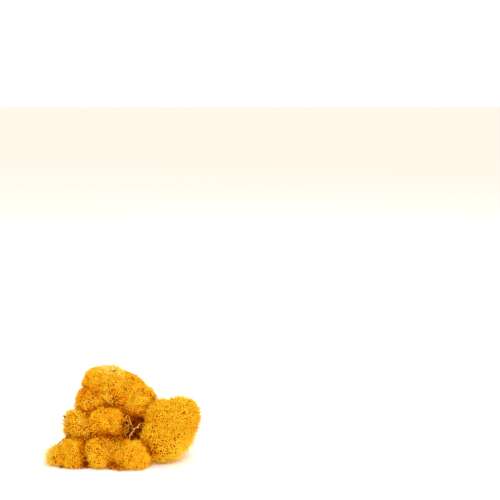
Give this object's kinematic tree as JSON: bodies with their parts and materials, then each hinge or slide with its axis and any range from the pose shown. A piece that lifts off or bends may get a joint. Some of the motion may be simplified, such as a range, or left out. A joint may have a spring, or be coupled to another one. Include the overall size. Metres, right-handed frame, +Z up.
{
  "type": "reindeer moss clump",
  "caption": "Clump of dyed golden-yellow reindeer moss: rounded, finely branched lichen heads pressed together around a hollow of bare stems, resting on its flattened base.",
  "frame": {"origin": "middle of the bounding box's bottom face, on the surface the clump rests on", "axes": "+Z up, +X to the clump's right as seen from its front, front towards -Y"},
  "size_m": [0.0958, 0.0762, 0.0567],
  "materials": {
    "golden_moss": "dyed lichen branchlets, soft and matte, golden yellow tips over orange depths",
    "pale_moss": "open pale lichen tips, matte and slightly translucent",
    "deep_moss": "coarse open lichen branchlets, matte orange",
    "bare_stems": "bare lower lichen stems, matte brown-orange in shade",
    "pale_twig": "dry pale stem, matte",
    "dry_needle": "dry conifer needle, low satin",
    "bark": "dry bark scrap, matte and rough"
  },
  "bodies": {
    "root": {"right_head": "golden_moss", "front_right_head": "golden_moss", "front_middle_head": "golden_moss", "front_left_head": "golden_moss", "middle_centre_head": "golden_moss", "middle_left_head": "pale_moss", "upper_left_head": "deep_moss", "top_left_head": "golden_moss", "top_middle_head": "pale_moss", "top_right_head": "golden_moss", "upper_right_head": "golden_moss", "upper_centre_head": "deep_moss", "back_top_left_head": "golden_moss", "back_top_right_head": "golden_moss", "back_left_head": "golden_moss", "back_middle_head": "golden_moss", "back_right_head": "golden_moss", "right_rear_head": "golden_moss", "low_left_rear_head": "golden_moss", "low_middle_rear_head": "golden_moss", "low_right_rear_head": "golden_moss", "right_base_head": "golden_moss", "stem_tangle": "bare_stems", "bare_stem": "pale_twig", "open_sprig": "pale_twig", "pine_needle": "dry_needle", "bark_fleck": "bark", "base_crumb": "bark"}
  },
  "joints": []
}
